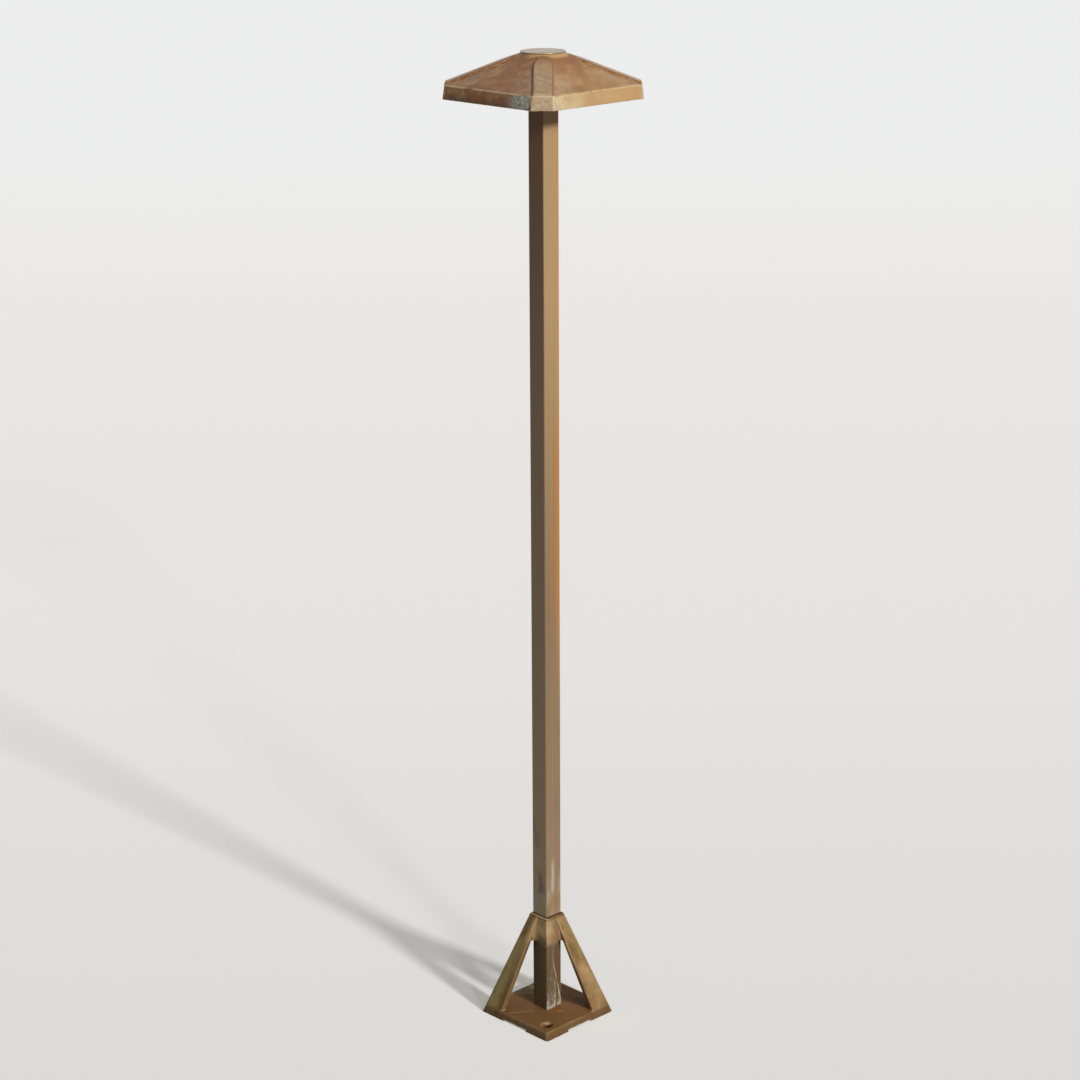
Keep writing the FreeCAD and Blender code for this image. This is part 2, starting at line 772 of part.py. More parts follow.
nodes = {
    "base_casting": base_casting(),
    "collar_set_screws": collar_set_screws(),
    "wire_grommet": wire_grommet(),
    "pole": pole(),
    "pole_top_plug": pole_top_plug(),
    "plug_screws": plug_screws(),
    "shade_stud": shade_stud(),
    "lamp_bracket": lamp_bracket(),
    "lock_washer": lock_washer(),
    "lock_nut": lock_nut(),
    "spacer_tube": spacer_tube(),
    "shade": shade(),
    "cap_seal": cap_seal(),
    "top_cap": top_cap(),
    "lamp_holder": lamp_holder(),
    "holder_contacts": holder_contacts(),
    "holder_screws": holder_screws(),
    "lamp_base": lamp_base(),
    "lamp_core": lamp_core(),
    "lamp_leds": lamp_leds(),
    "lamp_envelope": lamp_envelope(),
    "lamp_pins": lamp_pins(),
    "lead_a": lead(0),
    "lead_b": lead(1),
    "lead_connector": lead_connector(),
    "connector_barrels": connector_barrels(),
}

os.makedirs("parts", exist_ok=True)
for name, shape in nodes.items():
    shape.exportStep(os.path.join("parts", name + ".step"))
    print(name, "solids", len(shape.Solids), "valid", shape.isValid(), "volume", round(shape.Volume, 1))
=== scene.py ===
import math
import bpy
import numpy as np
from mathutils import Matrix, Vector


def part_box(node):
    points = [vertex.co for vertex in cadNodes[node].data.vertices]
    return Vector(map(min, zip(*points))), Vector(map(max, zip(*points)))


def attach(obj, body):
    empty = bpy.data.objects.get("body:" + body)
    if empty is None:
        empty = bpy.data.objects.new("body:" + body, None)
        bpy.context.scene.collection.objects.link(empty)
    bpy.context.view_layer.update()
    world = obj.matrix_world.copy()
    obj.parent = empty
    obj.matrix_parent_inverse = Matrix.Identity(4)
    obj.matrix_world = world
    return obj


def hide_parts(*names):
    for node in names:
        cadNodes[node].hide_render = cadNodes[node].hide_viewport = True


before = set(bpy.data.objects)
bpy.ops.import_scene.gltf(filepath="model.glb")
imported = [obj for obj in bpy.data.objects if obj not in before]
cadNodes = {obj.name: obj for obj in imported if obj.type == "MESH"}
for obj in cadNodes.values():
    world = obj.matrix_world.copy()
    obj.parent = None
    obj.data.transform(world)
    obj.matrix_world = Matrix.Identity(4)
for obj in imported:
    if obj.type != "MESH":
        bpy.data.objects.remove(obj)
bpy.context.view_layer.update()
scene = bpy.context.scene
print("frame loaded,", len(cadNodes), "nodes")


def boxEdge(node, end, axis):
    # one coordinate of a node's box in the frame: end 0 is the low one, 1 the high one
    return float(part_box(node)[end][axis])


# small helpers for node trees: a socket is linked, a plain value is set
def addNode(tree, kind, inputs=None, **settings):
    made = tree.nodes.new(kind)
    for key, value in settings.items():
        setattr(made, key, value)
    for key, value in (inputs or {}).items():
        if isinstance(value, bpy.types.NodeSocket):
            tree.links.new(value, made.inputs[key])
        else:
            made.inputs[key].default_value = value
    return made


def shown(r, g, b):
    # a colour as it looks on screen, 0 to 255, turned into the linear value the shader wants
    c = np.array([r, g, b]) / 255.0
    lin = np.where(c <= 0.04045, c / 12.92, ((c + 0.055) / 1.055) ** 2.4)
    return (*[float(v) for v in lin], 1.0)


def calc(tree, operation, a, b=0.0, clamp=False):
    made = addNode(tree, "ShaderNodeMath", {0: a, 1: b}, operation=operation, use_clamp=clamp)
    return made.outputs[0]


def vectorCalc(tree, operation, *vectors):
    made = addNode(tree, "ShaderNodeVectorMath", dict(enumerate(vectors)), operation=operation)
    return made.outputs["Value"]


def times(tree, first, *others):
    for other in others:
        first = calc(tree, "MULTIPLY", first, other)
    return first


def hypotenuse(tree, a, b):
    return calc(tree, "SQRT", calc(tree, "ADD", times(tree, a, a), times(tree, b, b)))


def between(tree, value, low, high):
    # 0 below low, 1 above high, smooth in between; low may be the larger of the two
    flip = low > high
    made = addNode(tree, "ShaderNodeMapRange",
                   {"Value": value, "From Min": min(low, high), "From Max": max(low, high),
                    "To Min": 1.0 if flip else 0.0, "To Max": 0.0 if flip else 1.0},
                   interpolation_type="SMOOTHSTEP")
    return made.outputs["Result"]


def bandAt(tree, value, middle, near, far):
    # 1 within near of the middle, 0 beyond far
    off = calc(tree, "ABSOLUTE", calc(tree, "SUBTRACT", value, middle))
    return between(tree, off, far, near)


def slide(tree, value, low, high, atLow, atHigh):
    # a straight line from atLow at low to atHigh at high, level beyond
    made = addNode(tree, "ShaderNodeMapRange",
                   {"Value": value, "From Min": low, "From Max": high, "To Min": atLow, "To Max": atHigh})
    return made.outputs["Result"]


def speckle(tree, vector, scale, detail, rough=0.55, swirl=0.0):
    made = addNode(tree, "ShaderNodeTexNoise",
                   {"Vector": vector, "Scale": scale, "Detail": detail, "Roughness": rough,
                    "Distortion": swirl})
    return made.outputs["Fac"]


def stretched(tree, vector, scale, place=(0, 0, 0)):
    made = addNode(tree, "ShaderNodeMapping", {"Vector": vector, "Location": place, "Scale": scale})
    return made.outputs[0]


def ramp(tree, value, stops):
    made = addNode(tree, "ShaderNodeValToRGB", {"Fac": value})
    bar = made.color_ramp.elements
    while len(bar) < len(stops):
        bar.new(0.5)
    for spot, (place, colour) in zip(bar, stops):
        spot.position = place
        spot.color = colour
    return made.outputs["Color"]


def overlay(tree, amount, under, over):
    made = addNode(tree, "ShaderNodeMix", {0: amount, 6: under, 7: over}, data_type="RGBA")
    return made.outputs[2]


def paint(tree, colour, tone, *shares):
    # lays a tone over a colour, as much as all the shares multiplied say
    return overlay(tree, times(tree, *shares), colour, tone)


def relief(tree, height, depth, strength, normal=None):
    inputs = {"Height": height, "Distance": depth, "Strength": strength}
    if normal is not None:
        inputs["Normal"] = normal
    return addNode(tree, "ShaderNodeBump", inputs).outputs["Normal"]


def newMaterial(name):
    made = bpy.data.materials.new(name)
    made.use_nodes = True
    tree = made.node_tree
    tree.nodes.clear()
    out = addNode(tree, "ShaderNodeOutputMaterial")
    shader = addNode(tree, "ShaderNodeBsdfPrincipled")
    tree.links.new(shader.outputs[0], out.inputs["Surface"])
    where = addNode(tree, "ShaderNodeTexCoord").outputs["Object"]
    return made, tree, shader, where


def wire(tree, shader, **sockets):
    for key, value in sockets.items():
        socket = shader.inputs[key.replace("_", " ")]
        if isinstance(value, bpy.types.NodeSocket):
            tree.links.new(value, socket)
        else:
            socket.default_value = value


def dress(names, material):
    for name in names:
        data = cadNodes[name].data
        data.materials.clear()
        data.materials.append(material)


# masks that the finishes share
def softEdges(tree, reach):
    # the normal as if edges were rounded, and how far it leans from the true one: 0 on flats, up to 1
    # on edges
    soft = addNode(tree, "ShaderNodeBevel", {"Radius": reach}, samples=8).outputs[0]
    true = addNode(tree, "ShaderNodeNewGeometry").outputs["Normal"]
    lean = vectorCalc(tree, "DOT_PRODUCT", soft, true)
    return soft, between(tree, lean, 0.998, 0.90)


def creaseMask(tree, reach):
    # 1 deep in a corner, 0 in the open
    clear = addNode(tree, "ShaderNodeAmbientOcclusion", {"Distance": reach}, samples=8).outputs["AO"]
    return between(tree, clear, 0.92, 0.45)


def axes(tree, vector):
    split = addNode(tree, "ShaderNodeSeparateXYZ", {0: vector})
    return split.outputs[0], split.outputs[1], split.outputs[2]


def turnedAxes(tree, x, y):
    # plan axes turned by 45 degrees: the way towards +X +Y, and the way back, towards -X +Y
    beside = times(tree, calc(tree, "ADD", x, y), math.sqrt(0.5))
    toBack = times(tree, calc(tree, "SUBTRACT", y, x), math.sqrt(0.5))
    return beside, toBack


def facing(tree):
    return axes(tree, addNode(tree, "ShaderNodeNewGeometry").outputs["Normal"])


def nearPoint(tree, where, place, near, far):
    return between(tree, vectorCalc(tree, "DISTANCE", where, place), far, near)


def fromAxis(tree, where):
    return vectorCalc(tree, "LENGTH", stretched(tree, where, (1, 1, 0)))


def nearLine(tree, x, y, start, end, near, far):
    # 1 close to a straight mark in plan: the gap is the length of what is left of the way from its start
    # when the part of that way along the mark, held between the two ends, is taken off
    run = np.array(end) - np.array(start)
    perX, perY = run / run.dot(run)
    fromX = calc(tree, "SUBTRACT", x, start[0])
    fromY = calc(tree, "SUBTRACT", y, start[1])
    along = calc(tree, "ADD", times(tree, fromX, perX), times(tree, fromY, perY), True)
    offX = calc(tree, "SUBTRACT", fromX, times(tree, along, run[0]))
    offY = calc(tree, "SUBTRACT", fromY, times(tree, along, run[1]))
    return between(tree, hypotenuse(tree, offX, offY), far, near)


def seenRays(tree):
    # 1 for what is seen straight, in a reflection or through glass, 0 for light that only bounces
    path = addNode(tree, "ShaderNodeLightPath")
    indirect = calc(tree, "MAXIMUM", path.outputs["Is Glossy Ray"], path.outputs["Is Transmission Ray"])
    return calc(tree, "MAXIMUM", path.outputs["Is Camera Ray"], indirect)


# patina of the castings and the tube: blotches and mottles, then each piece's own weather, then dirt in
# the creases and bare metal on the edges
def patina(name, finish, weather):
    made, tree, shader, where = newMaterial(name)
    flow = stretched(tree, where, finish["stretch"])
    blotch = speckle(tree, flow, finish["blotch"], 3.0, 0.5, 0.8)
    mottle = speckle(tree, flow, finish["mottle"], 5.0, 0.6, 0.4)
    grain = speckle(tree, where, finish["grain"], 3.0, 0.6)
    share = finish["blotchShare"]
    tone = calc(tree, "ADD", times(tree, blotch, share), times(tree, mottle, 1.0 - share))
    colour = weather(tree, where, ramp(tree, tone, finish["tones"]), mottle)
    crease = creaseMask(tree, finish["creaseReach"])
    colour = paint(tree, colour, finish["dirtAndShade"], crease, finish["creaseDirt"])
    soft, edge = softEdges(tree, finish["edgeReach"])
    chips = between(tree, speckle(tree, where, finish["chips"], 4.0, 0.6), 0.40, 0.60)
    wear = times(tree, edge, chips, finish["edgeWear"])
    colour = paint(tree, colour, finish["bareAndHighlight"], wear)
    rough = slide(tree, mottle, 0.3, 0.7, *finish["rough"])
    shine = slide(tree, wear, 0.0, 1.0, finish["metal"], finish["bareMetal"])
    bumpy = relief(tree, mottle, finish["dents"], 0.5, soft)
    bumpy = relief(tree, grain, finish["pits"], 0.6, bumpy)
    wire(tree, shader, Base_Color=colour, Roughness=rough, Metallic=shine, Normal=bumpy,
         Specular_IOR_Level=finish["specular"])
    return made


# shade; the other patinas start from this one
shadeFinish = {
    "stretch": (1, 1, 1.6), "blotch": 24.0, "mottle": 85.0, "grain": 1500.0, "chips": 190.0,
    "blotchShare": 0.62,
    "tones": [(0.30, shown(136, 92, 54)), (0.43, shown(162, 115, 71)), (0.56, shown(182, 138, 91)),
              (0.70, shown(204, 166, 118))],
    "bareAndHighlight": shown(232, 202, 154), "dirtAndShade": shown(58, 38, 24),
    "creaseReach": 0.004, "creaseDirt": 0.35, "edgeReach": 0.0012, "edgeWear": 0.85,
    "rough": (0.32, 0.48), "dents": 0.0006, "pits": 0.00010,
    "metal": 0.05, "bareMetal": 0.5, "specular": 0.22,
    # the knee is the line between skirt and roof
    "knee": boxEdge("shade", 0, 2) + 0.0116, "kneeSoft": 0.0003,
    "strapHalf": 0.0080, "strapArch": 0.0170, "strapApex": 0.0218,
    "facetFrom": (0.0840, 0.0846), "facetSide": 0.0090,
    "neckFade": (0.0238, 0.0208), "neckRing": 0.0265, "weepFade": (0.8830, 0.8748),
    "bloomAt": (0.054, -0.0683, 0.8770), "creamAt": (0.0675, -0.046, 0.8785),
    "rubScale": 48.0, "swirlScale": 34.0, "bloomScale": 95.0, "crustScale": 430.0, "brokenScale": 90.0,
    "strapTone": shown(185, 154, 113), "facetTone": shown(194, 170, 136), "skirtTone": shown(202, 169, 123),
    "shadyTone": shown(158, 98, 56), "goldTone": shown(190, 142, 84), "neckTone": shown(206, 167, 113),
    "verdigris": shown(224, 230, 218), "damp": shown(158, 165, 155), "cream": shown(214, 190, 146),
    "lineTone": shown(100, 68, 44), "outline": shown(136, 88, 46), "rubAndHighlightTone": shown(222, 204, 172),
}


def strapDistance(tree, x, y, form):
    # metres outside a strap's outline: u runs along the diagonal and v across it, the sides lie at
    # v = half, and above the shoulder each side bends in along a circle whose middle is level with it
    half, arch = form["strapHalf"], form["strapArch"]
    swing = (half ** 2 + arch ** 2) / (2 * half)
    u, v = turnedAxes(tree, calc(tree, "ABSOLUTE", x), calc(tree, "ABSOLUTE", y))
    rise = calc(tree, "MINIMUM", calc(tree, "SUBTRACT", u, form["strapApex"] + arch), 0.0)
    side = calc(tree, "ADD", calc(tree, "ABSOLUTE", v), swing - half)
    return calc(tree, "SUBTRACT", hypotenuse(tree, rise, side), swing), u


def shadeSpots(tree, where):
    # masks that the shade's marks share
    form = shadeFinish
    knee, soft = form["knee"], form["kneeSoft"]
    x, y, z = axes(tree, where)
    outside = between(tree, facing(tree)[2], -0.02, 0.08)
    gap, u = strapDistance(tree, x, y, form)
    aboveKnee = between(tree, z, knee - soft, knee + soft)
    belowKnee = between(tree, z, knee + soft, knee - soft)
    return {"outside": outside, "gap": gap, "u": u, "aboveKnee": aboveKnee,
            "onRoof": times(tree, aboveKnee, outside), "onSkirt": times(tree, belowKnee, outside),
            "onFacet": times(tree, between(tree, u, *form["facetFrom"]), outside)}


def shadeSides(tree, where, colour, mottle, spot):
    # the skirt is more rubbed than the roof; it is golden at its +Y end on the +X side as painted light,
    # and the -Y side is browner as painted shade
    form = shadeFinish
    y = axes(tree, where)[1]
    towardX, towardY, _ = facing(tree)
    colour = paint(tree, colour, form["skirtTone"], spot["onSkirt"], 0.6)
    colour = paint(tree, colour, form["goldTone"], spot["onSkirt"], between(tree, y, 0.0, 0.055),
                   between(tree, towardX, 0.5, 0.8), between(tree, mottle, 0.38, 0.58), 0.6)
    return paint(tree, colour, form["shadyTone"], between(tree, towardY, -0.25, -0.45), spot["outside"],
                 between(tree, mottle, 0.66, 0.40), 0.85)


def shadeStraps(tree, where, colour, spot):
    # straps and corner facets are paler, the straps more so near the corner; both have soft streaks where
    # they were rubbed, pale ones and brown ones, and one side of a facet is bare, with a painted highlight
    # on it
    form = shadeFinish
    x, y, _ = axes(tree, where)
    onFacet = spot["onFacet"]
    onStrap = times(tree, between(tree, spot["gap"], 0.0004, -0.0004), spot["outside"],
                    slide(tree, spot["u"], 0.030, 0.070, 0.15, 0.8))
    colour = paint(tree, colour, form["strapTone"], onStrap)
    colour = paint(tree, colour, form["facetTone"], onFacet, 0.85)
    rub = speckle(tree, stretched(tree, where, (1, 1, 2.6)), form["rubScale"], 3.0, 0.5, 1.2)
    worn = calc(tree, "MAXIMUM", onStrap, onFacet)
    colour = paint(tree, colour, form["rubAndHighlightTone"], bandAt(tree, rub, 0.45, 0.012, 0.05), worn, 0.45)
    colour = paint(tree, colour, form["lineTone"], bandAt(tree, rub, 0.57, 0.008, 0.030), worn, 0.3)
    beside = turnedAxes(tree, x, y)[0]
    bareLitSide = bandAt(tree, beside, form["facetSide"], 0.0004, 0.0013)
    return paint(tree, colour, form["rubAndHighlightTone"], bareLitSide, onFacet, 0.7)


def shadeRoof(tree, where, colour, spot):
    # the roof is chalkier beside the straps, more so on the +X side as painted light, and golden far from
    # them on the
    # +X side, also painted light, with polishing swirls in the chalk; it is golden where the neck comes up
    # to the cap, mostly as a painted highlight on its +X side, and browner just outside it
    form = shadeFinish
    gap, u, onRoof = spot["gap"], spot["u"], spot["onRoof"]
    towardX = facing(tree)[0]
    chalkAndLightShare = calc(tree, "ADD", times(tree, between(tree, towardX, -0.10, 0.40), 0.15), 0.25)
    colour = paint(tree, colour, form["facetTone"], between(tree, gap, 0.024, 0.004),
                   between(tree, u, 0.036, 0.056), onRoof, chalkAndLightShare)
    colour = paint(tree, colour, form["goldTone"], between(tree, gap, 0.022, 0.040),
                   between(tree, towardX, 0.25, 0.45), onRoof, 0.4)
    swirl = speckle(tree, stretched(tree, where, (1, 1, 2.2)), form["swirlScale"], 3.0, 0.5, 2.2)
    polished = times(tree, between(tree, gap, 0.026, 0.004), between(tree, u, 0.040, 0.058), onRoof)
    colour = paint(tree, colour, form["strapTone"], bandAt(tree, swirl, 0.47, 0.012, 0.05), polished, 0.55)
    colour = paint(tree, colour, form["shadyTone"], bandAt(tree, swirl, 0.57, 0.012, 0.05), polished, 0.4)
    radius = fromAxis(tree, where)
    ring = bandAt(tree, radius, form["neckRing"], 0.0015, 0.006)
    colour = paint(tree, colour, form["shadyTone"], ring, onRoof, 0.35)
    # the neck's gold is mostly a painted highlight on its +X side
    neckHighlightShare = calc(tree, "ADD", times(tree, between(tree, towardX, -0.15, 0.35), 0.72), 0.06)
    onNeck = between(tree, radius, *form["neckFade"])
    return paint(tree, colour, form["neckTone"], onNeck, spot["outside"], neckHighlightShare)


def shadeSkirt(tree, where, colour, mottle, spot):
    # dark weeping along the -Y rim, then a speckled grey-green bloom on the -Y side of one corner and a
    # creamy one on the +X side of it
    form = shadeFinish
    z = axes(tree, where)[2]
    towardY = facing(tree)[1]
    colour = paint(tree, colour, form["dirtAndShade"], between(tree, z, *form["weepFade"]),
                   between(tree, towardY, -0.6, -0.9), spot["onSkirt"],
                   between(tree, mottle, 0.26, 0.50), 0.65)
    bloom = between(tree, speckle(tree, where, form["bloomScale"], 5.0, 0.7, 0.6), 0.26, 0.56)
    specks = between(tree, speckle(tree, where, form["crustScale"], 3.0, 0.6), 0.38, 0.60)
    crust = overlay(tree, specks, form["damp"], form["verdigris"])
    flat = calc(tree, "SUBTRACT", spot["onSkirt"], spot["onFacet"], True)
    corner = nearPoint(tree, where, form["bloomAt"], 0.010, 0.036)
    colour = paint(tree, colour, crust, corner, bloom, flat)
    pale = nearPoint(tree, where, form["creamAt"], 0.010, 0.040)
    return paint(tree, colour, form["cream"], pale, bloom, flat, 0.85)


def shadeLines(tree, where, colour, mottle, spot):
    # a brown line where a strap stands on the roof, and the knee rubbed bright, with a painted highlight
    # along it, below a broken brown line
    form = shadeFinish
    knee = form["knee"]
    z = axes(tree, where)[2]
    towardX, _, up = facing(tree)
    colour = paint(tree, colour, form["outline"], bandAt(tree, spot["gap"], 0.0004, 0.0007, 0.0012),
                   spot["aboveKnee"], between(tree, up, -0.4, -0.2), 0.85)
    broken = between(tree, speckle(tree, where, form["brokenScale"], 3.0, 0.6), 0.42, 0.56)
    colour = paint(tree, colour, form["lineTone"], bandAt(tree, z, knee + 0.0013, 0.0002, 0.0006),
                   spot["onRoof"], broken, between(tree, towardX, 0.35, 0.1), 0.4)
    return paint(tree, colour, form["bareAndHighlight"], bandAt(tree, z, knee + 0.0002, 0.0003, 0.0009),
                 spot["outside"], between(tree, mottle, 0.32, 0.50), 0.55)


def shadeWeather(tree, where, colour, mottle):
    spot = shadeSpots(tree, where)
    colour = shadeSides(tree, where, colour, mottle, spot)
    colour = shadeStraps(tree, where, colour, spot)
    colour = shadeRoof(tree, where, colour, spot)
    colour = shadeSkirt(tree, where, colour, mottle, spot)
    return shadeLines(tree, where, colour, mottle, spot)


dress(["shade"], patina("shade_patina", shadeFinish, shadeWeather))

# cap: its pale pinkish grey tones paint the bright sky's reflection onto the same brass
capFinish = dict(
    shadeFinish,
    tones=[(0.30, shown(164, 140, 120)), (0.50, shown(186, 164, 144)), (0.70, shown(204, 184, 166))],
    rough=(0.26, 0.38), metal=0.45, specular=0.35, edgeWear=0.35, edgeReach=0.0004, dents=0.0002,
    ringTone=shown(138, 108, 84), ringAt=0.93 * boxEdge("top_cap", 1, 0), turningMarks=6800.0)


def capWeather(tree, where, colour, mottle):
    # a browner ring near the edge, painted shade of its rounded rim, and faint turning marks around the
    # middle
    form = capFinish
    radius = fromAxis(tree, where)
    colour = paint(tree, colour, form["ringTone"], bandAt(tree, radius, form["ringAt"], 0.0004, 0.0016),
                   between(tree, mottle, 0.34, 0.56), 0.5)
    turned = between(tree, calc(tree, "SINE", times(tree, radius, form["turningMarks"])), 0.4, 1.0)
    return paint(tree, colour, form["ringTone"], turned, between(tree, mottle, 0.62, 0.42), 0.16)


dress(["top_cap"], patina("cap_patina", capFinish, capWeather))

# base
baseFinish = dict(
    shadeFinish, stretch=(1, 1, 0.6), blotch=26.0, mottle=110.0,
    tones=[(0.34, shown(108, 79, 48)), (0.45, shown(138, 107, 69)), (0.56, shown(159, 128, 87)),
           (0.69, shown(178, 149, 108))],
    creaseReach=0.006, creaseDirt=0.28, edgeWear=0.5, edgeReach=0.0020, specular=0.08, rough=(0.46, 0.62),
    plateTop=boxEdge("pole", 0, 2), collarTop=boxEdge("base_casting", 1, 2),
    collarFoot=boxEdge("base_casting", 1, 2) - 0.0262, collarFace=boxEdge("pole", 1, 0) + 0.001875,
    screwReach=0.0425, legTaper=0.083, shadowSlant=0.634, patchScale=32.0, oliveScale=38.0,
    plateTone=shown(146, 99, 56), plateOlive=shown(122, 100, 60), shadowGrey=shown(168, 160, 130),
    olive=shown(150, 134, 86), legOlive=shown(182, 160, 108), legBrown=shown(106, 72, 43),
    edgeTone=shown(108, 77, 48), grime=shown(84, 64, 42),
    collarTone=shown(168, 137, 97), collarShady=shown(208, 174, 124),
    scratches=[((-0.0118, -0.0398), (0.0, -0.0193)), ((0.0178, -0.0046), (0.0203, 0.0023)),
               ((0.0378, 0.0120), (0.0385, 0.0137))])


def plateWeather(tree, where, colour):
    # the plate's top is redder, as rain stands on it, olive in patches and browner towards -X -Y
    form = baseFinish
    top = form["plateTop"]
    x, y, z = axes(tree, where)
    beside, toBack = turnedAxes(tree, x, y)
    up = facing(tree)[2]
    flat = times(tree, between(tree, up, 0.90, 0.97), between(tree, z, top + 0.001, top + 0.0002))
    # distance from the nearer screw hole in plan: both lie on the diagonal from -X +Y to +X -Y
    short = calc(tree, "SUBTRACT", calc(tree, "ABSOLUTE", toBack), form["screwReach"])
    fromHole = hypotenuse(tree, short, beside)
    onPlate = calc(tree, "MAXIMUM", flat, between(tree, fromHole, 0.0085, 0.0070))
    colour = paint(tree, colour, form["plateTone"], onPlate, 0.85)
    patches = between(tree, speckle(tree, where, form["patchScale"], 4.0, 0.6, 0.6), 0.42, 0.62)
    colour = paint(tree, colour, form["plateOlive"], flat, patches, 0.4)
    colour = paint(tree, colour, form["legBrown"], flat, between(tree, beside, -0.008, -0.020), 0.35)
    # a painted shadow strip behind the pole on the +Y side, and a painted grey shadow along the back edge
    # on the -X side
    behind = calc(tree, "ADD", toBack, times(tree, beside, form["shadowSlant"]))
    colour = paint(tree, colour, form["dirtAndShade"], flat, bandAt(tree, behind, 0.0235, 0.0060, 0.0095),
                   between(tree, beside, 0.006, 0.014), 0.45)
    colour = paint(tree, colour, form["shadowGrey"], flat, between(tree, toBack, 0.0185, 0.0225),
                   between(tree, beside, -0.008, -0.016), 0.4)
    # a few scratches, and screw holes painted dark as shade, with a painted highlight on their rim on the
    # pole's side
    for start, end in form["scratches"]:
        scratch = nearLine(tree, x, y, start, end, 0.0002, 0.0006)
        colour = paint(tree, colour, form["bareAndHighlight"], flat, scratch, 0.5)
    colour = paint(tree, colour, form["dirtAndShade"], between(tree, fromHole, 0.0048, 0.0036), 0.85)
    return paint(tree, colour, form["bareAndHighlight"], bandAt(tree, fromHole, 0.0047, 0.0003, 0.0010),
                 between(tree, short, -0.0034, -0.0046), 0.5)


def steepWeather(tree, where, colour):
    # olive bloom in long patches on steep faces, most on the -Y side, grime close to the ground, and the
    # plate's +X edge darker
    form = baseFinish
    z = axes(tree, where)[2]
    towardX, towardY, up = facing(tree)
    steep = between(tree, up, 0.8, 0.5)
    bloom = speckle(tree, stretched(tree, where, (1, 1, 0.5)), form["oliveScale"], 4.0, 0.6, 0.4)
    colour = paint(tree, colour, form["olive"], between(tree, bloom, 0.42, 0.58),
                   slide(tree, towardY, -0.9, -0.3, 0.75, 0.4), steep)
    colour = paint(tree, colour, form["grime"], between(tree, z, 0.010, 0.003), steep, 0.6)
    return paint(tree, colour, form["edgeTone"], between(tree, towardX, 0.5, 0.9),
                 between(tree, z, form["plateTop"], 0.0060), 0.7)


def legWeather(tree, where, colour, mottle):
    # a leg's -Y side is olive along the corner, browner low down towards its cut side and paler upwards;
    # the cut side of the -X -Y leg is painted brown as shade
    form = baseFinish
    top, foot = form["plateTop"], form["collarFoot"]
    x, y, z = axes(tree, where)
    towardX, towardY, _ = facing(tree)
    # inward is the way in from the corner, corrected for the leg getting narrower upwards
    toBack = turnedAxes(tree, x, y)[1]
    inward = calc(tree, "ADD", calc(tree, "ABSOLUTE", toBack), times(tree, z, form["legTaper"]))
    onLeg = times(tree, between(tree, z, top, top + 0.002), between(tree, z, foot + 0.006, foot - 0.004))
    onShady = times(tree, onLeg, between(tree, towardY, -0.3, -0.9))
    colour = paint(tree, colour, form["legOlive"], onShady, between(tree, inward, 0.0118, 0.0085),
                   between(tree, mottle, 0.32, 0.54), 0.6)
    colour = paint(tree, colour, form["legBrown"], onShady, between(tree, inward, 0.0105, 0.0135),
                   between(tree, z, 0.060, 0.035), 0.4)
    colour = paint(tree, colour, form["legOlive"], onShady, between(tree, z, 0.035, 0.070), 0.6)
    return paint(tree, colour, form["legBrown"], onLeg, between(tree, towardX, 0.6, 0.9),
                 between(tree, x, 0.0, -0.004), 0.6)


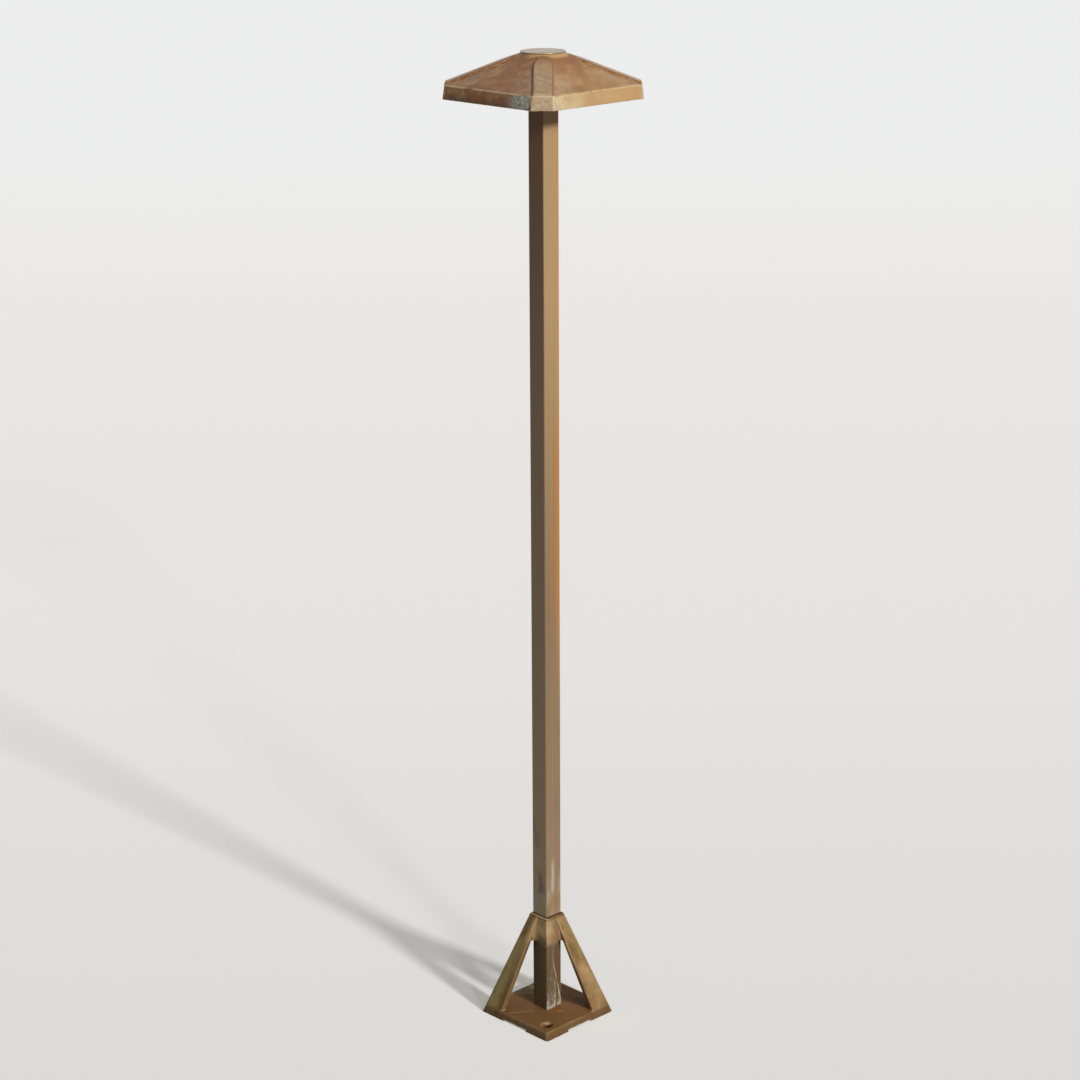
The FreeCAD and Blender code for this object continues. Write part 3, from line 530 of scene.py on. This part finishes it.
def collarWeather(tree, where, colour, mottle):
    form = baseFinish
    foot, top, face = form["collarFoot"], form["collarTop"], form["collarFace"]
    x, y, z = axes(tree, where)
    towardX, towardY, up = facing(tree)
    beside, toBack = turnedAxes(tree, x, y)
    fromLegs = calc(tree, "ABSOLUTE", toBack)
    shadySide = between(tree, towardY, -0.3, -0.9)
    onCollar = between(tree, z, foot - 0.001, foot + 0.001)
    sunnySide = times(tree, onCollar, between(tree, towardX, 0.5, 0.9))
    # the collar is rubbed; the cut side of the +X +Y leg below it is painted paler, as light in its shade
    offLeg = calc(tree, "MAXIMUM", between(tree, fromLegs, 0.0040, 0.0075),
                  between(tree, towardX, 0.5, 0.8))
    pale = overlay(tree, shadySide, form["collarTone"], form["collarShady"])
    colour = paint(tree, colour, pale, between(tree, z, foot - 0.004, foot + 0.004),
                   between(tree, mottle, 0.24, 0.50), offLeg, slide(tree, towardY, -0.9, -0.3, 0.95, 0.4))
    colour = paint(tree, colour, form["collarShady"], shadySide, between(tree, x, 0.0118, 0.0130),
                   between(tree, z, 0.050, 0.065), 0.7)
    # the -Y side is stained low down, under a pale band
    colour = paint(tree, colour, form["dirtAndShade"], onCollar, shadySide, between(tree, beside, -0.0105, -0.0075),
                   between(tree, z, foot + 0.010, foot + 0.003), 0.5)
    colour = paint(tree, colour, form["bareAndHighlight"], bandAt(tree, z, foot + 0.0135, 0.0015, 0.0070), shadySide,
                   between(tree, fromLegs, 0.0060, 0.0085), 0.4)
    # the +X side is paler near its front edge, browner low down and beside the leg
    colour = paint(tree, colour, form["bareAndHighlight"], sunnySide, between(tree, beside, 0.0080, 0.0010),
                   between(tree, mottle, 0.36, 0.52), 0.35)
    lowPart = between(tree, z, foot + 0.016, foot + 0.004)
    besideLeg = between(tree, beside, 0.0050, 0.0100)
    browner = calc(tree, "MAXIMUM", times(tree, lowPart, 0.35), times(tree, besideLeg, 0.5))
    onFace = bandAt(tree, x, face, 0.0002, 0.0008)
    colour = paint(tree, colour, form["legBrown"], browner, sunnySide, onFace)
    # the fillet on the -Y side is brown, and so is the top, with a painted highlight on the -Y part of its
    # rim
    colour = paint(tree, colour, form["legBrown"], onCollar, between(tree, towardX, 0.10, 0.40),
                   between(tree, y, 0.0001 - face, -0.0002 - face), between(tree, x, 0.0, -0.001), 0.42)
    colour = paint(tree, colour, form["legBrown"], bandAt(tree, z, top, 0.0012, 0.0030), 0.6)
    return paint(tree, colour, form["bareAndHighlight"], between(tree, up, 0.5, 0.8),
                 between(tree, y, -0.0094, -0.0098), between(tree, z, top - 0.0010, top - 0.0004), 0.85)


def baseWeather(tree, where, colour, mottle):
    colour = plateWeather(tree, where, colour)
    colour = steepWeather(tree, where, colour)
    colour = legWeather(tree, where, colour, mottle)
    return collarWeather(tree, where, colour, mottle)


dress(["base_casting"], patina("base_patina", baseFinish, baseWeather))

# pole
poleFinish = dict(
    shadeFinish, stretch=(1, 1, 0.04), blotch=40.0, mottle=150.0, blotchShare=0.75,
    tones=[(0.30, shown(158, 124, 87)), (0.50, shown(168, 135, 98)), (0.72, shown(180, 149, 113))],
    creaseReach=0.010, edgeReach=0.0010, edgeWear=0.30, dents=0.00015, pits=0.00005,
    half=boxEdge("pole", 1, 0), streakAt=-0.14 * boxEdge("pole", 1, 0),
    collarFoot=baseFinish["collarFoot"], collarTop=baseFinish["collarTop"],
    veilScale=70.0, dripScale=75.0, scrapeScale=480.0,
    lime=shown(200, 191, 168), haze=shown(196, 184, 164),
    # gold and amber are a painted reflection on the +X side
    gold=shown(196, 142, 80), amber=shown(188, 114, 38),
    stain=shown(78, 62, 40), soot=shown(52, 38, 24), rust=shown(150, 110, 68), moss=shown(168, 158, 126),
    # tones of the +X and the -Y side by height in metres: painted light on the +X side, painted shade on
    # the -Y side
    sunny=[(0.14, shown(142, 118, 92)), (0.42, shown(136, 110, 80)), (0.70, shown(180, 148, 106))],
    shady=[(0.18, shown(176, 154, 122)), (0.58, shown(150, 126, 100)), (0.86, shown(108, 74, 51))])


def poleSides(tree, where):
    # masks of the +X side and the -Y side
    half = poleFinish["half"]
    x, y, _ = axes(tree, where)
    return between(tree, x, half - 0.0012, half - 0.0004), between(tree, y, 0.0004 - half, -half)


def shaftWeather(tree, where, colour):
    # painted light and shade: the +X side is lighter towards the top, the -Y side browner there and greyer
    # below;
    # a warm band runs along the far edge of the +X side, amber at mid-height, as a painted reflection
    form = poleFinish
    half = form["half"]
    _, y, z = axes(tree, where)
    onSide, onFront = poleSides(tree, where)
    for side, stops in ((onSide, form["sunny"]), (onFront, form["shady"])):
        colour = paint(tree, colour, ramp(tree, z, stops), side, 0.8)
    colour = paint(tree, colour, form["gold"], onSide, between(tree, y, 0.1 * half, 0.9 * half),
                   between(tree, z, 0.28, 0.42), 0.6)
    return paint(tree, colour, form["amber"], onSide, bandAt(tree, y, 0.4 * half, 0.15 * half, 0.55 * half),
                 bandAt(tree, z, 0.49, 0.05, 0.13), 0.45)


def lowShaftWeather(tree, where, colour):
    # a chalky haze and dark drips above the collar; the last centimetres are rusty on the +X side, under a
    # grey streak, and mossy on the -Y side
    form = poleFinish
    _, y, z = axes(tree, where)
    onSide, onFront = poleSides(tree, where)
    veil = speckle(tree, stretched(tree, where, (1, 1, 0.4)), form["veilScale"], 2.0, 0.5, 0.4)
    colour = paint(tree, colour, form["haze"], between(tree, veil, 0.44, 0.66),
                   between(tree, z, 0.20, 0.12), 0.5)
    runs = stretched(tree, where, (1, 1, 0.3), (0.3, 0.1, 0))
    drip = speckle(tree, runs, form["dripScale"], 2.0, 0.5, 0.3)
    lowBand = between(tree, z, 0.132, 0.123)
    colour = paint(tree, colour, form["stain"], between(tree, drip, 0.52, 0.70),
                   between(tree, z, 0.24, 0.14), calc(tree, "SUBTRACT", 1.0, lowBand), 0.55)
    colour = paint(tree, colour, form["haze"], onSide, bandAt(tree, y, form["streakAt"], 0.0008, 0.0030),
                   bandAt(tree, z, 0.143, 0.008, 0.024), 0.6)
    colour = paint(tree, colour, form["rust"], onSide, lowBand, 0.4)
    return paint(tree, colour, form["moss"], onFront, lowBand, 0.4)


def footWeather(tree, where, colour):
    # darker below the collar; on the +X side a line of lime runs down to the far edge, with scratches
    # inside it that thicken downwards, and the foot is white
    form = poleFinish
    collarFoot = form["collarFoot"]
    _, y, z = axes(tree, where)
    onSide = poleSides(tree, where)[0]
    under = between(tree, z, collarFoot + 0.001, collarFoot - 0.006)
    colour = paint(tree, colour, form["stain"], under, slide(tree, onSide, 0.0, 1.0, 0.8, 0.7))
    scrape = speckle(tree, stretched(tree, where, (1, 1, 0.22)), form["scrapeScale"], 4.0, 0.7, 0.6)
    thicker = calc(tree, "ADD", scrape, slide(tree, z, 0.012, 0.062, 0.03, -0.10))
    streaks = between(tree, thicker, 0.49, 0.64)
    lineAt = slide(tree, z, 0.011, 0.056, 0.95 * form["half"], form["streakAt"])
    fromLine = calc(tree, "SUBTRACT", y, lineAt)
    inside = between(tree, fromLine, 0.0005, -0.0010)
    colour = paint(tree, colour, form["lime"], onSide, inside, under, streaks, 0.6)
    colour = paint(tree, colour, form["lime"], bandAt(tree, fromLine, 0.0, 0.0002, 0.0008), onSide,
                   slide(tree, z, 0.03, 0.075, 0.85, 0.1), between(tree, scrape, 0.36, 0.48))
    colour = paint(tree, colour, form["lime"], between(tree, z, 0.0130, 0.0095),
                   between(tree, scrape, 0.36, 0.52), onSide, 0.8)
    return paint(tree, colour, form["lime"], streaks, between(tree, z, 0.0105, 0.0085), 0.5)


def poleWeather(tree, where, colour, mottle):
    colour = shaftWeather(tree, where, colour)
    colour = lowShaftWeather(tree, where, colour)
    colour = footWeather(tree, where, colour)
    # dark joint at the collar's top
    joint = bandAt(tree, axes(tree, where)[2], poleFinish["collarTop"], 0.0008, 0.0022)
    return paint(tree, colour, poleFinish["soot"], joint, 0.8)


dress(["pole"], patina("pole_patina", poleFinish, poleWeather))
print("patina done")


# plain metals, rubber, ceramic and plastics of the hidden pieces
def plainFinish(name, colour, worn, scale, rough, metal):
    made, tree, shader, where = newMaterial(name)
    mottle = speckle(tree, where, scale, 5.0, 0.6)
    tint = ramp(tree, mottle, [(0.32, worn), (0.66, colour)])
    shine = slide(tree, mottle, 0.3, 0.7, rough[1], rough[0])
    bumpy = relief(tree, speckle(tree, where, scale * 5, 2.0), 0.00005, 0.5)
    wire(tree, shader, Base_Color=tint, Roughness=shine, Normal=bumpy, Metallic=metal)
    return made, tree, shader


# each has its nodes, clean and worn colour, pattern scale, roughness range and share of metal
plainPieces = {
    "turned_brass": (["pole_top_plug", "lock_nut", "spacer_tube"],
                     shown(206, 172, 112), shown(166, 128, 76), 300.0, (0.24, 0.42), 0.9),
    "stainless": (["collar_set_screws", "plug_screws", "lamp_bracket", "lock_washer", "holder_screws"],
                  shown(190, 190, 186), shown(150, 150, 148), 500.0, (0.26, 0.42), 0.95),
    "seal_rubber": (["cap_seal", "wire_grommet"],
                    shown(52, 47, 43), shown(38, 34, 31), 600.0, (0.6, 0.8), 0.0),
    "holder_ceramic": (["lamp_holder"],
                       shown(232, 228, 218), shown(214, 208, 194), 260.0, (0.5, 0.7), 0.0),
    "contact_metal": (["holder_contacts", "lamp_pins", "connector_barrels"],
                      shown(214, 196, 150), shown(178, 156, 112), 900.0, (0.2, 0.36), 0.95),
    "lamp_plastic": (["lamp_base"],
                     shown(240, 240, 236), shown(226, 226, 220), 400.0, (0.42, 0.55), 0.0),
    "lamp_board": (["lamp_core"],
                   shown(238, 238, 232), shown(222, 222, 214), 500.0, (0.4, 0.55), 0.0),
    "lamp_phosphor": (["lamp_leds"],
                      shown(238, 204, 92), shown(222, 180, 70), 1200.0, (0.4, 0.6), 0.0),
    "lead_insulation": (["lead_a", "lead_b"],
                        shown(50, 50, 50), shown(36, 36, 36), 700.0, (0.42, 0.6), 0.0),
    "connector_plastic": (["lead_connector"],
                          shown(226, 220, 200), shown(208, 200, 178), 400.0, (0.45, 0.6), 0.0),
}
plainMade = {}
for name, (nodes, *finish) in plainPieces.items():
    plainMade[name] = plainFinish(name, *finish)[0]
    dress(nodes, plainMade[name])

frosted, frostTree, frostShader = plainFinish("lamp_frost", shown(246, 244, 238), shown(236, 233, 224),
                                              500.0, (0.38, 0.5), 0.0)
wire(frostTree, frostShader, Transmission_Weight=0.75, IOR=1.45)
dress(["lamp_envelope"], frosted)
print("plain finishes done")


# threaded stud
studThread = {"pitch": 0.0015875, "depth": 0.0008, "endShare": 0.25, "perTurn": 8, "around": 48}


def makeStud(form):
    # radius at height z and angle a: full radius less a V-shaped groove whose phase is z / pitch less
    # a / one turn, fading to endShare of its depth over the last turn at each end; a point in the middle
    # closes each end
    low, high = [np.array(c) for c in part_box("shade_stud")]
    full = (high[0] - low[0]) / 2
    steps = int((high[2] - low[2]) / form["pitch"] * form["perTurn"])
    z = np.linspace(low[2], high[2], steps + 1)[:, None]
    a = np.linspace(0, 2 * np.pi, form["around"], endpoint=False)[None, :]
    phase = np.abs(((z - low[2]) / form["pitch"] - a / (2 * np.pi)) % 1.0 - 0.5) * 2
    fade = np.clip(np.minimum(z - low[2], high[2] - z) / form["pitch"], 0, 1)
    r = full - form["depth"] * phase * (form["endShare"] + (1 - form["endShare"]) * fade)
    grid = np.stack([r * np.cos(a), r * np.sin(a), z + 0 * a], axis=-1).reshape(-1, 3)
    ends = np.array([[0, 0, low[2]], [0, 0, high[2]]])
    points = np.concatenate([grid, ends])
    n, m = steps + 1, form["around"]
    i, j = [v.ravel() for v in np.meshgrid(np.arange(n - 1), np.arange(m), indexing="ij")]
    k = (j + 1) % m
    quads = np.stack([i * m + j, i * m + k, (i + 1) * m + k, (i + 1) * m + j], axis=1)
    j = np.arange(m)
    k = (j + 1) % m
    bottom = np.stack([np.full(m, n * m), k, j], axis=1)
    top = np.stack([np.full(m, n * m + 1), (n - 1) * m + j, (n - 1) * m + k], axis=1)
    mesh = bpy.data.meshes.new("stud_thread")
    mesh.from_pydata(points.tolist(), [], quads.tolist() + bottom.tolist() + top.tolist())
    mesh.materials.append(plainMade["turned_brass"])
    made = bpy.data.objects.new("stud_thread", mesh)
    scene.collection.objects.link(made)
    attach(made, "stand")
    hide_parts("shade_stud")


makeStud(studThread)
print("stud done")


# floor
floorLook = {"half": 40.0, "lit": 0.92, "litShare": 0.444, "bounce": shown(149, 147, 144),
             "span": (-0.2, 7.8),
             "tones": [(0.0, shown(218, 217, 213)), (0.20, shown(229, 226, 222)),
                       (1.0, shown(236, 236, 235))]}


def makeFloor(look):
    h = look["half"]
    mesh = bpy.data.meshes.new("floor")
    mesh.from_pydata([(-h, -h, 0), (h, -h, 0), (h, h, 0), (-h, h, 0)], [], [(0, 1, 2, 3)])
    made = bpy.data.objects.new("floor", mesh)
    scene.collection.objects.link(made)
    mat, tree, shader, where = newMaterial("floor_paper")
    x, y, _ = axes(tree, where)
    away = slide(tree, calc(tree, "SUBTRACT", y, x), *look["span"], 0.0, 1.0)
    seen = seenRays(tree)
    # where it is seen, the paper is part its own even colour and part lit, which keeps the shadow
    glow = []
    for place, tone in look["tones"]:
        glow.append((place, tuple(c - look["litShare"] for c in tone[:3]) + (1.0,)))
    even = addNode(tree, "ShaderNodeEmission", {"Color": ramp(tree, away, glow), "Strength": seen})
    lit = overlay(tree, seen, look["bounce"], (look["lit"], look["lit"], look["lit"], 1.0))
    wire(tree, shader, Base_Color=lit, Roughness=0.9, Specular_IOR_Level=0.0)
    both = addNode(tree, "ShaderNodeAddShader", {0: shader.outputs[0], 1: even.outputs[0]})
    out = [n for n in tree.nodes if n.type == "OUTPUT_MATERIAL"][0]
    tree.links.new(both.outputs[0], out.inputs["Surface"])
    mesh.materials.append(mat)


makeFloor(floorLook)

# light: a low key from the right of the camera, a weaker one nearer the camera, a shadowless fill for the
# back and an even dim room
suns = {"key": {"toward": (0.998, -0.06), "rise": 22.0, "power": 2.5, "spread": 6.0, "shadow": True},
        "second": {"toward": (0.945, -0.326), "rise": 25.0, "power": 0.5, "spread": 7.0, "shadow": True},
        "fill": {"toward": (-0.5, 0.85), "rise": 4.0, "power": 0.8, "spread": 20.0, "shadow": False}}
room = {"seen": shown(236, 236, 235), "ambient": 0.11, "tint": (0.95, 0.98, 1.06, 1.0)}


def aim(lamp, toward, rise):
    # stands a sun 3 m from the origin, that way and that many degrees up, looking back along its own -Z
    side = np.array(toward) / np.linalg.norm(toward)
    z = np.array([*(side * math.cos(math.radians(rise))), math.sin(math.radians(rise))])
    x = np.cross([0, 0, 1.0], z)
    x /= np.linalg.norm(x)
    m = np.eye(4)
    m[:3, 0], m[:3, 1], m[:3, 2], m[:3, 3] = x, np.cross(z, x), z, 3 * z
    lamp.matrix_world = Matrix(m.tolist())


def makeSuns():
    for name, look in suns.items():
        sun = bpy.data.lights.new(name, "SUN")
        sun.energy = look["power"]
        sun.angle = math.radians(look["spread"])
        sun.use_shadow = look["shadow"]
        lamp = bpy.data.objects.new(name, sun)
        lamp.visible_glossy = look["shadow"]  # the fill doesn't show in reflections
        scene.collection.objects.link(lamp)
        aim(lamp, look["toward"], look["rise"])


def makeRoom():
    world = bpy.data.worlds.new("room")
    scene.world = world
    world.use_nodes = True
    tree = world.node_tree
    tree.nodes.clear()
    dim = addNode(tree, "ShaderNodeBackground", {"Color": room["tint"], "Strength": room["ambient"]})
    pale = addNode(tree, "ShaderNodeBackground", {"Color": room["seen"], "Strength": 1.0})
    both = addNode(tree, "ShaderNodeMixShader", {0: seenRays(tree), 1: dim.outputs[0], 2: pale.outputs[0]})
    out = addNode(tree, "ShaderNodeOutputWorld")
    tree.links.new(both.outputs[0], out.inputs["Surface"])


makeSuns()
makeRoom()
scene.view_settings.view_transform = "Standard"

# camera: in front of the corner, a little above the cap, looking down
cameraView = {"lens": 86.72, "sensor": 36.0, "sight": 100.0,
              "right": 0.0153, "back": 2.2604, "height": 1.1691,
              "pitch": 17.084, "yaw": -0.509, "roll": -0.289}


def makeCamera(view):
    # look, right and up of a camera that is yawed, pitched and rolled, on axes turned by 45 degrees about Z
    across, away, up = [np.array(v) for v in ((1, 1, 0), (-1, 1, 0), (0, 0, 1))]
    across, away = across / math.sqrt(2), away / math.sqrt(2)
    yaw, pitch, roll = [math.radians(view[k]) for k in ("yaw", "pitch", "roll")]
    look = math.cos(pitch) * (math.sin(yaw) * across + math.cos(yaw) * away) - math.sin(pitch) * up
    right = math.cos(yaw) * across - math.sin(yaw) * away
    top = np.cross(right, look)
    m = np.eye(4)
    m[:3, 0] = right * math.cos(roll) + top * math.sin(roll)
    m[:3, 1] = -right * math.sin(roll) + top * math.cos(roll)
    m[:3, 2] = -look
    m[:3, 3] = view["right"] * across - view["back"] * away + view["height"] * up
    data = bpy.data.cameras.new("photo")
    data.sensor_width = view["sensor"]
    data.lens = view["lens"]
    data.clip_end = view["sight"]
    made = bpy.data.objects.new("photo", data)
    scene.collection.objects.link(made)
    made.matrix_world = Matrix(m.tolist())
    scene.camera = made


makeCamera(cameraView)
print("stage, lights and camera done")
